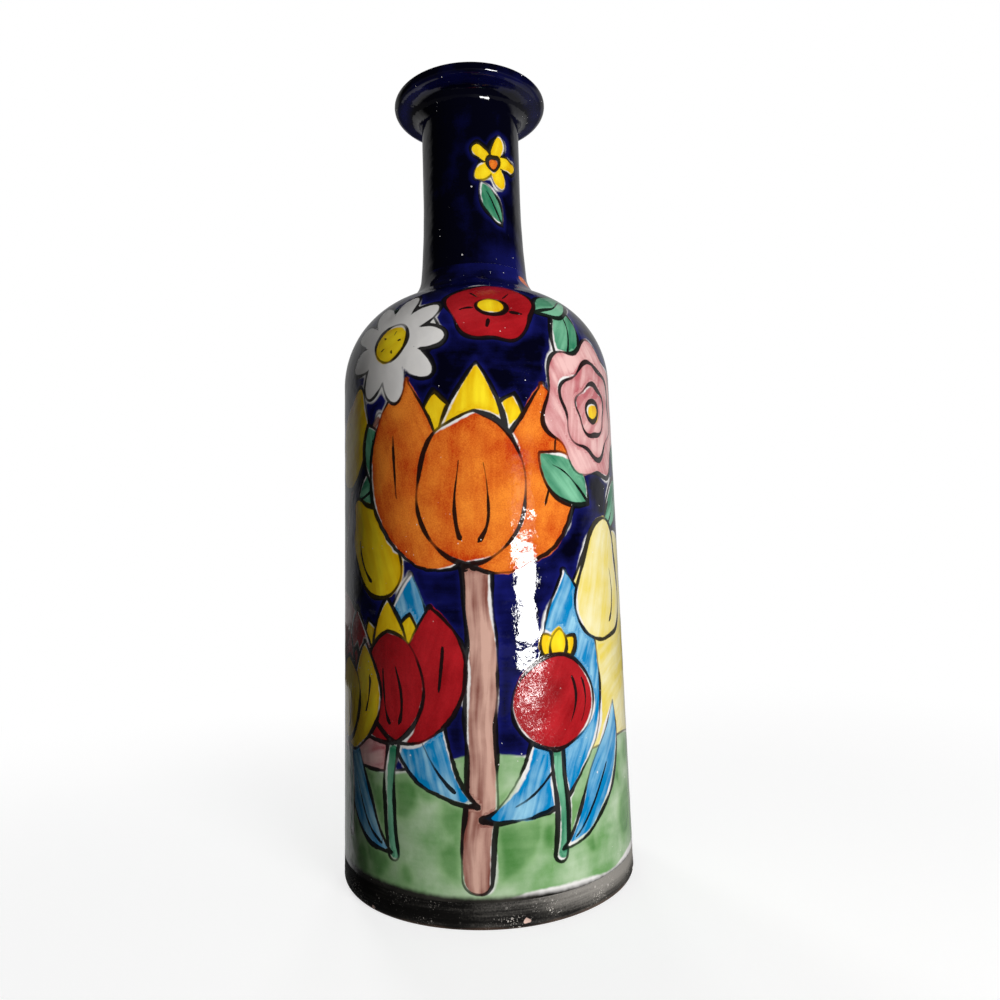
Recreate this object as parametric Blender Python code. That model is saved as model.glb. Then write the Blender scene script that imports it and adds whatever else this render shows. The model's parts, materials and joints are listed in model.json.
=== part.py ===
"""Bottle vase in glazed earthenware, modelled the way a potter builds it.

Turned clay sections are luted one on another with lap joints, from the foot up to the lip. One glaze coat
lines the inside so that the clay holds water, and two more cover the outside, on the body and on the neck.
Metres, +Z up. The origin is the centre of the ring that the vase stands on.
"""

import math

import bmesh
import bpy
from mathutils import Vector

# Finished outside, from the foot to the lip
BASE_RADIUS = 0.0550
BASE_EDGE = 0.0012
BODY_TAPER = 0.0032
BODY_TOP_HEIGHT = 0.1835
SHOULDER_ARC = 0.0365
NECK_FILLET = 0.0125
NECK_FLARE_ARC = 0.3750
NECK_FLARE_HEIGHT = 0.0336
NECK_RADIUS = 0.0195
NECK_PARALLEL = 0.0273
LIP_FILLET = 0.0060
LIP_THICKNESS = 0.0048
LIP_RADIUS = 0.0303

# Layers of the wall, from the outside in
OUTER_GLAZE = 0.0006
CLAY_WALL = 0.0042
INNER_GLAZE = 0.0006

# Foot and floor
FOOT_HEIGHT = 0.0085
FOOT_RING_WIDTH = 0.0090
FOOT_LEDGE = 0.0025
FLOOR_THICKNESS = 0.0050
FLOOR_FILLET = 0.0040

# Joints between the sections, and the slip that fills them
JOINT_LAP = 0.0030
LIP_COLLAR = 0.0020
SEAT_GAP = 0.0003

# Fineness of the turned surfaces
SEGMENTS = 48
ARC_STEP = math.radians(20)
WIDE_ARC_STEP = math.radians(9)
LEAST_ARC_STEPS = 3
WELD = 1e-6
SHARP_ANGLE = math.radians(30)

# Colours as (red, green, blue), with roughness
BARE_CLAY = ((0.58, 0.33, 0.20), 0.85)
DARK_SLIP = ((0.045, 0.042, 0.040), 0.60)
BISCUIT = ((0.66, 0.42, 0.28), 0.80)
WHITE_GLAZE = ((0.82, 0.80, 0.76), 0.10)
PAINTED_GLAZE = ((0.72, 0.36, 0.10), 0.08)
COBALT_GLAZE = ((0.012, 0.014, 0.110), 0.06)

# Depths under the finished outside, where each layer begins and ends
CLAY_OUT = OUTER_GLAZE + SEAT_GAP
CLAY_IN = CLAY_OUT + CLAY_WALL
CLAY_MIDDLE = CLAY_OUT + CLAY_WALL / 2
LINING_OUT = CLAY_IN + SEAT_GAP
LINING_IN = LINING_OUT + INNER_GLAZE

# Arc centres of the shoulder, the fillet at the neck's foot and the neck's flare, each tangent to the next
BODY_TOP_RADIUS = BASE_RADIUS - BODY_TAPER
WALL_LEAN = math.atan2(BODY_TAPER, BODY_TOP_HEIGHT)
SHOULDER_CENTRE = Vector((
    BODY_TOP_RADIUS - SHOULDER_ARC * math.cos(WALL_LEAN),
    BODY_TOP_HEIGHT - SHOULDER_ARC * math.sin(WALL_LEAN),
))
FLARE_RADIUS_AXIS = NECK_RADIUS + NECK_FLARE_ARC
FILLET_RADIUS_AXIS = FLARE_RADIUS_AXIS - math.sqrt((NECK_FLARE_ARC - NECK_FILLET) ** 2 - NECK_FLARE_HEIGHT**2)
FILLET_RISE = math.sqrt((SHOULDER_ARC + NECK_FILLET) ** 2 - (FILLET_RADIUS_AXIS - SHOULDER_CENTRE.x) ** 2)
FILLET_CENTRE = Vector((FILLET_RADIUS_AXIS, SHOULDER_CENTRE.y + FILLET_RISE))
FLARE_CENTRE = Vector((FLARE_RADIUS_AXIS, FILLET_CENTRE.y + NECK_FLARE_HEIGHT))

# Directions in which neighbouring arcs touch
SHOULDER_END = math.atan2(*(FILLET_CENTRE - SHOULDER_CENTRE).yx)
FLARE_START = math.atan2(*(FILLET_CENTRE - FLARE_CENTRE).yx) + 2 * math.pi

# Heights along the finished outside
NECK_JOINT = FLARE_CENTRE.y + NECK_FLARE_ARC * math.sin(FLARE_START)
LIP_START = FLARE_CENTRE.y + NECK_PARALLEL
LIP_CURVE = min(LIP_FILLET, LIP_RADIUS - LIP_THICKNESS / 2 - NECK_RADIUS)
LIP_CENTRE = Vector((NECK_RADIUS + LIP_CURVE, LIP_START))
HEIGHT = LIP_START + LIP_CURVE + LIP_THICKNESS
LIP_JOINT = LIP_START - LIP_COLLAR
FLOOR_BOTTOM = FOOT_LEDGE + SEAT_GAP
FLOOR_TOP = FLOOR_BOTTOM + FLOOR_THICKNESS


def arc(centre, radius_across, radius_up, start, end, step=ARC_STEP):
    """Points of a round or oval arc about centre, from one direction to another, both ends included."""
    steps = max(LEAST_ARC_STEPS, math.ceil(abs(end - start) / step))
    angles = [start + (end - start) * i / steps for i in range(steps + 1)]
    return [(centre.x + radius_across * math.cos(a), centre.y + radius_up * math.sin(a)) for a in angles]


def round_arc(centre, radius, start, end, step=ARC_STEP):
    return arc(centre, radius, radius, start, end, step)


def wall_line(depth):
    """The wall's line from the floor up to the lip, at a depth under the finished outside."""
    line = [(BASE_RADIUS - depth / math.cos(WALL_LEAN), 0.0)]
    line += round_arc(SHOULDER_CENTRE, SHOULDER_ARC - depth, WALL_LEAN, SHOULDER_END, WIDE_ARC_STEP)
    line += round_arc(FILLET_CENTRE, NECK_FILLET + depth, SHOULDER_END + math.pi, FLARE_START)[1:]
    line += round_arc(FLARE_CENTRE, NECK_FLARE_ARC + depth, FLARE_START, math.pi)[1:]
    line.append((NECK_RADIUS - depth, LIP_START))
    return line


def radius_at(depth, height):
    """Radius of the wall's line at a height, between its two nearest points."""
    line = wall_line(depth)
    for (low_radius, low), (high_radius, high) in zip(line, line[1:]):
        if low <= height <= high:
            return low_radius + (high_radius - low_radius) * (height - low) / (high - low)
    raise ValueError(f"the wall has no height {height}")


def stretch(depth, low, high):
    """The part of the wall's line between two heights, from the lower to the higher."""
    between = [point for point in wall_line(depth) if low + WELD < point[1] < high - WELD]
    return [(radius_at(depth, low), low), *between, (radius_at(depth, high), high)]


def lip_line(depth):
    """Over the lip from the neck's outside to the neck's bore, at a depth under the finished surface."""
    edge = LIP_THICKNESS / 2
    edge_centre = Vector((LIP_RADIUS - edge, HEIGHT - edge))
    line = round_arc(LIP_CENTRE, LIP_CURVE + depth, math.pi, math.pi / 2)
    line += round_arc(edge_centre, edge - depth, -math.pi / 2, math.pi / 2)
    mouth_across = LIP_CURVE + LINING_IN - depth
    mouth_up = LIP_CURVE + LIP_THICKNESS - depth
    line += arc(LIP_CENTRE, mouth_across, mouth_up, math.pi / 2, math.pi)
    return line


def tongue(joint):
    """Lower end of a section: its inner half reaches down behind the section below. Outside to inside."""
    step = radius_at(CLAY_MIDDLE, joint)
    return [(step, joint + SEAT_GAP), (step, joint - JOINT_LAP + SEAT_GAP)]


def socket(joint):
    """Upper end of a section: its inner half is cut back for the tongue above. Inside to outside."""
    step = radius_at(CLAY_MIDDLE, joint) + SEAT_GAP
    return [(step, joint - JOINT_LAP), (step, joint)]


def section_outline(low_joint, high_joint):
    """Closed outline of a clay section between two lap joints."""
    outside = stretch(CLAY_OUT, low_joint + SEAT_GAP, high_joint)
    inside = stretch(CLAY_IN, low_joint - JOINT_LAP + SEAT_GAP, high_joint - JOINT_LAP)
    return [*reversed(outside), *tongue(low_joint), *inside, *socket(high_joint)]


def finish(name, colour, roughness):
    """A plain dielectric material."""
    material = bpy.data.materials.new(name)
    material.use_nodes = True
    shader = material.node_tree.nodes["Principled BSDF"]
    shader.inputs["Base Color"].default_value = (*colour, 1.0)
    shader.inputs["Roughness"].default_value = roughness
    shader.inputs["Metallic"].default_value = 0.0
    return material


def turned(name, outline, look):
    """Turns an outline of (radius, height) about Z. One that ends on the axis at both ends is left open there."""
    shape = bmesh.new()
    points = [shape.verts.new((radius, 0.0, height)) for radius, height in outline]
    pairs = list(zip(points, points[1:]))
    if outline[0][0] > 0:
        pairs.append((points[-1], points[0]))
    edges = [shape.edges.new(pair) for pair in pairs]
    bmesh.ops.spin(
        shape, geom=points + edges, cent=(0, 0, 0), axis=(0, 0, 1), angle=2 * math.pi, steps=SEGMENTS, use_merge=True
    )
    bmesh.ops.remove_doubles(shape, verts=shape.verts, dist=WELD)
    bmesh.ops.recalc_face_normals(shape, faces=shape.faces)
    mesh = bpy.data.meshes.new(name)
    shape.to_mesh(mesh)
    shape.free()
    mesh.shade_smooth()
    mesh.set_sharp_from_angle(angle=SHARP_ANGLE)
    mesh.materials.append(finish(name, *look))
    piece = bpy.data.objects.new(name, mesh)
    bpy.context.scene.collection.objects.link(piece)
    return piece


def make_base_disc():
    """Floor of the vase, a slab that drops onto the foot's ledge."""
    radius = radius_at(CLAY_IN, FLOOR_TOP) - SEAT_GAP
    outline = [(0.0, FLOOR_TOP), (radius, FLOOR_TOP), (radius, FLOOR_BOTTOM), (0.0, FLOOR_BOTTOM)]
    return turned("base_disc", outline, BARE_CLAY)


def make_foot_band():
    """Unglazed ring that the vase stands on, with a ledge inside for the floor."""
    edge_centre = Vector((BASE_RADIUS - BASE_EDGE, BASE_EDGE))
    ring_inside = BASE_RADIUS - FOOT_RING_WIDTH
    outline = [(radius_at(0.0, FOOT_HEIGHT), FOOT_HEIGHT)]
    outline += round_arc(edge_centre, BASE_EDGE, 0.0, -math.pi / 2)
    outline += [(ring_inside, 0.0), (ring_inside, FOOT_LEDGE)]
    outline += stretch(CLAY_IN, FOOT_LEDGE, FOOT_HEIGHT - JOINT_LAP)
    outline += socket(FOOT_HEIGHT)
    return turned("foot_band", outline, DARK_SLIP)


def make_body_wall():
    """Tapering wall of the body."""
    return turned("body_wall", section_outline(FOOT_HEIGHT, BODY_TOP_HEIGHT), BISCUIT)


def make_shoulder_dome():
    """Domed shoulder that closes the body in to the neck."""
    return turned("shoulder_dome", section_outline(BODY_TOP_HEIGHT, NECK_JOINT), BISCUIT)


def make_neck_tube():
    """Slender neck, a little wider at its foot."""
    return turned("neck_tube", section_outline(NECK_JOINT, LIP_JOINT), BISCUIT)


def make_lip_ring():
    """Flared lip round the mouth."""
    outline = [*reversed(lip_line(CLAY_OUT))]
    outline.append((radius_at(CLAY_OUT, LIP_JOINT), LIP_JOINT + SEAT_GAP))
    outline += tongue(LIP_JOINT)
    outline.append((radius_at(CLAY_IN, LIP_JOINT), LIP_JOINT - JOINT_LAP + SEAT_GAP))
    return turned("lip_ring", outline, BISCUIT)


def make_inner_glaze():
    """White glaze poured inside, from the floor up to the mouth. It pools in the corner of the floor."""
    face_floor = FLOOR_TOP + SEAT_GAP + INNER_GLAZE
    back_floor = FLOOR_TOP + SEAT_GAP
    top = LIP_START - SEAT_GAP
    corner_height = face_floor + FLOOR_FILLET
    corner = Vector((radius_at(LINING_IN, corner_height) - FLOOR_FILLET, corner_height))
    face = round_arc(corner, FLOOR_FILLET, -math.pi / 2, 0.0)
    face += stretch(LINING_IN, corner_height, top)[1:]
    back = stretch(LINING_OUT, back_floor, top)
    outline = [(0.0, face_floor), *face, *reversed(back), (0.0, back_floor)]
    return turned("inner_glaze", outline, WHITE_GLAZE)


def make_body_glaze():
    """Painted glaze coat over the wall and the shoulder."""
    face = stretch(0.0, FOOT_HEIGHT + SEAT_GAP, NECK_JOINT)
    back = stretch(OUTER_GLAZE, FOOT_HEIGHT + SEAT_GAP, NECK_JOINT)
    return turned("body_glaze", [*reversed(face), *back], PAINTED_GLAZE)


def make_neck_glaze():
    """Cobalt glaze coat over the neck and the lip, and a little way into the mouth."""
    low = NECK_JOINT + SEAT_GAP
    face = [*stretch(0.0, low, LIP_START)[:-1], *lip_line(0.0)]
    back = [*stretch(OUTER_GLAZE, low, LIP_START)[:-1], *lip_line(OUTER_GLAZE)]
    return turned("neck_glaze", [*reversed(face), *back], COBALT_GLAZE)


def main():
    for thing in list(bpy.data.objects):
        bpy.data.objects.remove(thing)
    makers = (
        make_base_disc,
        make_foot_band,
        make_body_wall,
        make_shoulder_dome,
        make_neck_tube,
        make_lip_ring,
        make_inner_glaze,
        make_body_glaze,
        make_neck_glaze,
    )
    vase = bpy.data.objects.new("vase", None)
    bpy.context.scene.collection.objects.link(vase)
    for make in makers:
        make().parent = vase
    print(f"height {HEIGHT * 1000:.2f} mm, bore {2000 * (NECK_RADIUS - LINING_IN):.2f} mm")
    print(f"joints at {FOOT_HEIGHT:.4f}, {BODY_TOP_HEIGHT:.4f}, {NECK_JOINT:.4f} and {LIP_JOINT:.4f} m")


main()
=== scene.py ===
# %% [markdown]
# # A painted bottle vase
#
# The vase is an earthenware bottle. Clay sections are joined with slip, white glaze covers them, and a garden
# is brushed over the glaze in many colours. The solids come packed from the CAD as a fixed frame, and this
# file gives every surface its finish. The painting could be an image laid over the mesh, but here each colour
# is a field of distances worked out on the surface, so its edges stay sharp and it holds from every side.

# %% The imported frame
import json
import math

import bpy
import numpy as np
from mathutils import Matrix, Vector

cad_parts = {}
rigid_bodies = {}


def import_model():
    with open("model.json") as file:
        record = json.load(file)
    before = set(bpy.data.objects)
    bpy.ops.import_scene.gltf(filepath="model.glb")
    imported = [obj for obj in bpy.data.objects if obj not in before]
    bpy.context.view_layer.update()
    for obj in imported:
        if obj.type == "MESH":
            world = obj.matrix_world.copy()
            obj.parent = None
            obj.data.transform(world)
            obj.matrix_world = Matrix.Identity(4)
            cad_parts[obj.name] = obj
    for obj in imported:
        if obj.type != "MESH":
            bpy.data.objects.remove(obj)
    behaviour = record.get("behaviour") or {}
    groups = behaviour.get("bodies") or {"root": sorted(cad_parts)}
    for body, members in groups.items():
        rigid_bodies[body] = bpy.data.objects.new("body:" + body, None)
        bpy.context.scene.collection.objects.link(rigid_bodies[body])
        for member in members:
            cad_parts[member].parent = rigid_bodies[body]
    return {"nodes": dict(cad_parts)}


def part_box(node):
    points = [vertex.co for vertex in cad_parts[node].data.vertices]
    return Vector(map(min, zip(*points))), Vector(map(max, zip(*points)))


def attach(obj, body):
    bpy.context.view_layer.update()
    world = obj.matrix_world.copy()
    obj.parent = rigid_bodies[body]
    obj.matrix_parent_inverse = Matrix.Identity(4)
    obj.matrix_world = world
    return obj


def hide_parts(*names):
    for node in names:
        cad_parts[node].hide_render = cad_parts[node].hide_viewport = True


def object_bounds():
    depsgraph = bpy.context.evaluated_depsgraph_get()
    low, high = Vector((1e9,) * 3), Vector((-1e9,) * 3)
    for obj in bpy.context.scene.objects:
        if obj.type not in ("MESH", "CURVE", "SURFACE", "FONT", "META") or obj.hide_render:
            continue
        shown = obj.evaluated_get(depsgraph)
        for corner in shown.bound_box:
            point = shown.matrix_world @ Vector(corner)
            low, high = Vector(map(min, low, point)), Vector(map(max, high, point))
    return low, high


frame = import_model()
cad_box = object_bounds()
MM = 0.001
print("nodes in the frame:", ", ".join(sorted(frame["nodes"])))

# %% [markdown]
# ## The camera
#
# The vase was photographed from close by, a little above its middle, with the camera turned a few degrees
# about its own line of sight. A camera could be pointed with a constraint. Its matrix is worked out here
# instead, because a constraint can't hold such a small roll.

# %% Camera
FRAME_PIXELS = 1000
FOCAL_PIXELS = 770.2
SENSOR_MM = 36.0
CLIP_START = 0.01
CAMERA_PLACE = Vector((0.0, -0.3049, 0.1241))
PITCH = math.radians(2.82)
YAW = math.radians(1.49)
ROLL = math.radians(-1.60)


def aim(place, pitch, yaw, roll):
    """Camera matrix: it looks along yaw and pitch, and is then turned by roll about that line."""
    forward = Vector((math.sin(yaw) * math.cos(pitch), math.cos(yaw) * math.cos(pitch), math.sin(pitch)))
    side = forward.cross(Vector((0, 0, 1))).normalized()
    up = side.cross(forward)
    across = math.cos(roll) * side + math.sin(roll) * up
    upright = math.cos(roll) * up - math.sin(roll) * side
    matrix = Matrix((across, upright, -forward)).transposed().to_4x4()
    matrix.translation = place
    return matrix


def add(name, data):
    """A new object in the scene."""
    thing = bpy.data.objects.new(name, data)
    bpy.context.scene.collection.objects.link(thing)
    return thing


camera = add("camera", bpy.data.cameras.new("camera"))
camera.data.sensor_width = SENSOR_MM
camera.data.lens = SENSOR_MM * FOCAL_PIXELS / FRAME_PIXELS
camera.data.clip_start = CLIP_START
camera.matrix_world = aim(CAMERA_PLACE, PITCH, YAW, ROLL)
bpy.context.scene.camera = camera
print(f"camera: {camera.data.lens:.2f} mm lens, {CAMERA_PLACE.length / MM:.0f} mm from the foot")

# %% [markdown]
# ## Short words for shader nodes
#
# Every finish below is a small graph of nodes. These helpers make one node each, set or link its inputs and
# hand back its output, so that a finish reads like a formula. Positions reach the noise textures in
# millimetres, which makes every scale a real size on the vase.


# %% Node helpers
ASKEW_TURNS = (0.6, 0.4, 0.9)


def join(tree, value, socket):
    """Links an output to a socket, or sets a plain value on it."""
    if isinstance(value, bpy.types.NodeSocket):
        tree.links.new(value, socket)
    else:
        socket.default_value = value


def put(tree, kind, inputs=None, **settings):
    """Adds one node with its settings and its inputs."""
    node = tree.nodes.new(kind)
    for name, value in settings.items():
        setattr(node, name, value)
    for key, value in (inputs or {}).items():
        join(tree, value, node.inputs[key])
    return node


def calc(tree, operation, first, second=0.0, clamp=False):
    """One sum of two numbers."""
    return put(tree, "ShaderNodeMath", {0: first, 1: second}, operation=operation, use_clamp=clamp).outputs[0]


def times(tree, first, second):
    """The product of two numbers."""
    return calc(tree, "MULTIPLY", first, second)


def plus(tree, total, *others):
    """The sum of several numbers."""
    for number in others:
        total = calc(tree, "ADD", total, number)
    return total


def vector(tree, operation, first, second=(0.0, 0.0, 0.0)):
    """One sum of two vectors, which gives a vector or, for a length or a dot product, a number."""
    node = put(tree, "ShaderNodeVectorMath", {0: first, 1: second}, operation=operation)
    return node.outputs["Value" if operation in ("LENGTH", "DOT_PRODUCT") else "Vector"]


def mix(tree, factor, under, over):
    """One colour laid over another."""
    return put(tree, "ShaderNodeMix", {0: factor, 6: under, 7: over}, data_type="RGBA").outputs[2]


def ease(tree, value, low, high, start=0.0, end=1.0):
    """A smooth step from start to end as value goes from low to high."""
    inputs = {"Value": value, "From Min": low, "From Max": high, "To Min": start, "To Max": end}
    return put(tree, "ShaderNodeMapRange", inputs, interpolation_type="SMOOTHSTEP").outputs[0]


def stretch(tree, place, by):
    """A position with its three parts scaled apart, which draws noise out into streaks."""
    return vector(tree, "MULTIPLY", place, by)


def noise(tree, place, scale, detail=2.0):
    """Soft noise from 0 to 1, with scale spots to a millimetre."""
    inputs = {"Vector": place, "Scale": scale, "Detail": detail}
    return put(tree, "ShaderNodeTexNoise", inputs).outputs[0]


def millimetres(tree):
    """The place on the piece, in millimetres."""
    place = put(tree, "ShaderNodeTexCoord").outputs["Object"]
    return stretch(tree, place, (1 / MM, 1 / MM, 1 / MM))


def askew(tree, place):
    """The same place, turned, so that the squares behind a noise texture don't line up with the vase."""
    inputs = {"Vector": place, "Rotation": ASKEW_TURNS}
    return put(tree, "ShaderNodeVectorRotate", inputs, rotation_type="EULER_XYZ").outputs[0]


def stored(tree, name, output="Fac"):
    """A number, or with "Vector" a vector, that the mesh keeps for each of its points."""
    return put(tree, "ShaderNodeAttribute", attribute_name=name).outputs[output]


def bumped(tree, relief, strength, depth):
    """The surface's direction where a relief, depth mm high, tilts it."""
    inputs = {"Strength": strength, "Distance": depth * MM, "Height": relief}
    return put(tree, "ShaderNodeBump", inputs).outputs["Normal"]


def shade(red, green, blue):
    """A colour as seen on a screen, from 0 to 255, turned into the light that the shader works with."""
    screen = np.array([red, green, blue]) / 255
    light = np.where(screen < 0.04045, screen / 12.92, ((screen + 0.055) / 1.055) ** 2.4)
    return (*light.tolist(), 1.0)


def new_material(name):
    """An empty node material and its Principled shader."""
    material = bpy.data.materials.new(name)
    material.use_nodes = True
    return material, material.node_tree, material.node_tree.nodes["Principled BSDF"]


def coat(tree, shader, colour, roughness, normal):
    """Gives a Principled shader the three inputs that every finish sets."""
    for key, value in (("Base Color", colour), ("Roughness", roughness), ("Normal", normal)):
        join(tree, value, shader.inputs[key])


print("middle grey as light:", [round(part, 3) for part in shade(128, 128, 128)[:3]])

# %% [markdown]
# ## The stage
#
# A studio would show this vase on a white sweep, with softboxes in front at the right, and a dark tent round
# it so that the cobalt stays deep. The white comes from the world and the floor as the camera sees them, so
# no extra light falls on the glaze. The floor still takes a soft shadow.

# %% World and floor
AMBIENT = 0.04
FLOOR_GREY = 170
FLOOR_BOUNCE = 50
FLOOR_LIFT = 0.72
FLOOR_SIZE = 3.0
FADE_FROM, FADE_TO = 0.12, 0.42

bpy.context.scene.view_settings.view_transform = "Standard"


def seen_directly(tree):
    """1 for rays from the camera and for mirror and glass rays, which should all meet the white sweep."""
    path = put(tree, "ShaderNodeLightPath").outputs
    either = calc(tree, "MAXIMUM", path["Is Camera Ray"], path["Is Glossy Ray"])
    return calc(tree, "MAXIMUM", either, path["Is Transmission Ray"])


world = bpy.data.worlds.new("sweep")
world.use_nodes = True
bpy.context.scene.world = world
sky = world.node_tree
background = sky.nodes["Background"]
background.inputs["Color"].default_value = (1.0, 1.0, 1.0, 1.0)
join(sky, ease(sky, seen_directly(sky), 0.0, 1.0, AMBIENT, 1.0), background.inputs["Strength"])

floor_mesh = bpy.data.meshes.new("floor")
corner = FLOOR_SIZE / 2
floor_corners = [(-corner, -corner, 0), (corner, -corner, 0), (corner, corner, 0), (-corner, corner, 0)]
floor_mesh.from_pydata(floor_corners, [], [(0, 1, 2, 3)])
floor = add("floor", floor_mesh)

floor_finish, tree, shader = new_material("white sweep")
tree.nodes.remove(shader)
reach = vector(tree, "LENGTH", put(tree, "ShaderNodeTexCoord").outputs["Object"])
dark, pale = shade(*[FLOOR_BOUNCE] * 3), shade(*[FLOOR_GREY] * 3)
paper = put(tree, "ShaderNodeBsdfDiffuse", {"Color": mix(tree, seen_directly(tree), dark, pale)})
lift = put(tree, "ShaderNodeEmission", {"Strength": times(tree, seen_directly(tree), FLOOR_LIFT)})
near = put(tree, "ShaderNodeAddShader", {0: paper.outputs[0], 1: lift.outputs[0]})
far = put(tree, "ShaderNodeEmission", {"Strength": ease(tree, seen_directly(tree), 0.0, 1.0, AMBIENT, 1.0)})
fade = ease(tree, reach, FADE_FROM, FADE_TO)
sweep = put(tree, "ShaderNodeMixShader", {0: fade, 1: near.outputs[0], 2: far.outputs[0]})
join(tree, sweep.outputs[0], tree.nodes["Material Output"].inputs["Surface"])
floor_mesh.materials.append(floor_finish)
print(f"floor: {FLOOR_SIZE:.1f} m wide, with a shadow out to {FADE_TO:.2f} m")

# %% Softboxes
# name, degrees from the camera's side to the right, height, distance, width and height in m, brightness, and
# whether it shows as a highlight in the gloss
LAMPS = (
    ("window", 33, 0.080, 0.60, 0.17, 0.12, 32.0, True),
    ("window_top", 33, 0.178, 0.60, 0.16, 0.07, 0.8, True),
    ("window_behind", 180, 0.140, 0.90, 0.20, 0.26, 27.0, True),
    ("fill", 33, 0.26, 0.88, 0.36, 0.40, 9.6, False),
    ("fill_behind", 204, 0.24, 0.90, 0.20, 0.40, 20.0, False),
    ("overhead", 0, 1.20, 0.25, 0.60, 0.60, 1.4, False),
)


def softbox(name, azimuth, height, distance, across, up, brightness, mirrored):
    """An area lamp that faces the vase."""
    turn = math.radians(azimuth)
    lamp = bpy.data.lights.new(name, "AREA")
    lamp.shape = "RECTANGLE"
    lamp.size, lamp.size_y = across, up
    lamp.energy = brightness * math.pi * across * up
    box = add(name, lamp)
    box.location = (distance * math.sin(turn), -distance * math.cos(turn), height)
    towards = Vector((0.0, 0.0, min(height, cad_box[1].z))) - box.location
    box.rotation_euler = towards.to_track_quat("-Z", "Y").to_euler()
    box.visible_camera = False
    box.visible_glossy = mirrored


for settings in LAMPS:
    softbox(*settings)
print(f"lamps: {len(LAMPS)}")

# %% Tent
TENT_RADIUS, TENT_HEIGHT = 0.95, 1.1
TENT_MOUTH, CLOTH_EDGE = 0.0555, 0.43
TENT_ROWS, TENT_COLUMNS = 40, 144
CLOTH_HEIGHT = 0.0005
# lines of the wall, the roof and the cloth on the floor, each as two points of (radius, height)
UPRIGHT = ((TENT_RADIUS, 0.001), (TENT_RADIUS, TENT_HEIGHT))
ROOF = ((TENT_RADIUS, TENT_HEIGHT), (0.001, TENT_HEIGHT))
NEAR_CLOTH = ((TENT_MOUTH, CLOTH_HEIGHT), (CLOTH_EDGE, CLOTH_HEIGHT))
FAR_CLOTH = ((CLOTH_EDGE, CLOTH_HEIGHT), (TENT_RADIUS, CLOTH_HEIGHT))
# name, line, degrees over which its grey changes, how light the gloss sees it from left to right, and the
# degrees where that changes, at both points of the line
TENT = (
    ("tent_wall", UPRIGHT, 24, (0.29, 0.010, 0.36), (-125, 90), (-104, 134)),
    ("tent_roof", ROOF, 1, (0.012,), (), ()),
    ("tent_cloth", NEAR_CLOTH, 5, (0.40, 0.18, 0.02, 0.32), (-71, -67, 52), (-136, -127, 101)),
    ("tent_far_cloth", FAR_CLOTH, 30, (0.05, 0.14), (0,), (0,)),
)


def store(piece, name, values):
    """Keeps one number, or one vector, for each point of the mesh."""
    kind, key = ("FLOAT_VECTOR", "vector") if values.ndim == 3 else ("FLOAT", "value")
    layer = piece.data.attributes.new(name, kind, "POINT")
    layer.data.foreach_set(key, np.ascontiguousarray(values, dtype=np.float32).ravel())


def tent_sheet(name, line, soft, greys, first_edges, last_edges):
    """A sheet of a round tent about the vase, which only the gloss sees: it gives no light and no shadow. A
    point is (r sin a, -r cos a, z), and its grey goes from one value to the next by the smooth step
    3t^2 - 2t^3, across an edge that runs straight from one point of the line to the other."""
    turn = np.linspace(-180, 180, TENT_COLUMNS + 1)
    share = np.linspace(0, 1, TENT_ROWS + 1)[:, None]
    radius, up = (first + (last - first) * share for first, last in zip(*line))
    light = np.full((TENT_ROWS + 1, TENT_COLUMNS + 1), greys[0])
    for before, after, first, last in zip(greys, greys[1:], first_edges, last_edges):
        ends = [r * np.exp(1j * math.radians(degrees)) for (r, _), degrees in zip(line, (first, last))]
        edge = np.degrees(np.angle(ends[0] + (ends[1] - ends[0]) * share))
        t = np.clip((turn - edge) / soft + 0.5, 0, 1)
        light += (after - before) * t**2 * (3 - 2 * t)
    x, y = radius * np.sin(np.radians(turn)), -radius * np.cos(np.radians(turn))
    points = np.stack([x, y, np.broadcast_to(up, x.shape)], axis=-1).reshape(-1, 3)
    corner = np.arange(points.shape[0]).reshape(light.shape)
    faces = np.stack([corner[:-1, :-1], corner[:-1, 1:], corner[1:, 1:], corner[1:, :-1]], axis=-1)
    mesh = bpy.data.meshes.new(name)
    mesh.from_pydata(points.tolist(), [], faces.reshape(-1, 4).tolist())
    sheet = add(name, mesh)
    store(sheet, "light", light)
    material, tree, shader = new_material(name)
    tree.nodes.remove(shader)
    glow = put(tree, "ShaderNodeEmission", {"Strength": stored(tree, "light")})
    join(tree, glow.outputs[0], tree.nodes["Material Output"].inputs["Surface"])
    mesh.materials.append(material)
    sheet.visible_camera = False
    sheet.visible_diffuse = False
    sheet.visible_shadow = False


for settings in TENT:
    tent_sheet(*settings)
print(f"tent: {len(TENT)} sheets")

# %% [markdown]
# ## The line of the vase
#
# A potter's wheel gives a surface of revolution, so the whole form is one line turned about the axis. It is
# drawn as arcs that touch: a leaning wall, the shoulder's dome, a fillet at the neck's foot, the neck's slow
# flare, and a lip. A traced outline would carry the tracing's bumps, while tangent arcs stay as smooth as the
# glaze. Heights and widths are read from the frame, in millimetres.

# %% Line of the outside
BODY_TAPER = 3.2
SHOULDER_ARC = 36.5
NECK_FILLET = 12.5
NECK_FLARE_ARC = 375.0
NECK_FLARE_HEIGHT = 33.6
NECK_RADIUS = 19.5
LIP_FILLET = 6.0
LIP_THICKNESS = 4.8
WALL = 6.0
GLAZE = 0.6

base_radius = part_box("foot_band")[1].x / MM
foot_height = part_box("foot_band")[1].z / MM
wall_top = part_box("body_wall")[1].z / MM
glaze_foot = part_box("body_glaze")[0].z / MM
neck_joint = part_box("body_glaze")[1].z / MM
lip_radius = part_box("neck_glaze")[1].x / MM
height = cad_box[1].z / MM


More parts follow.
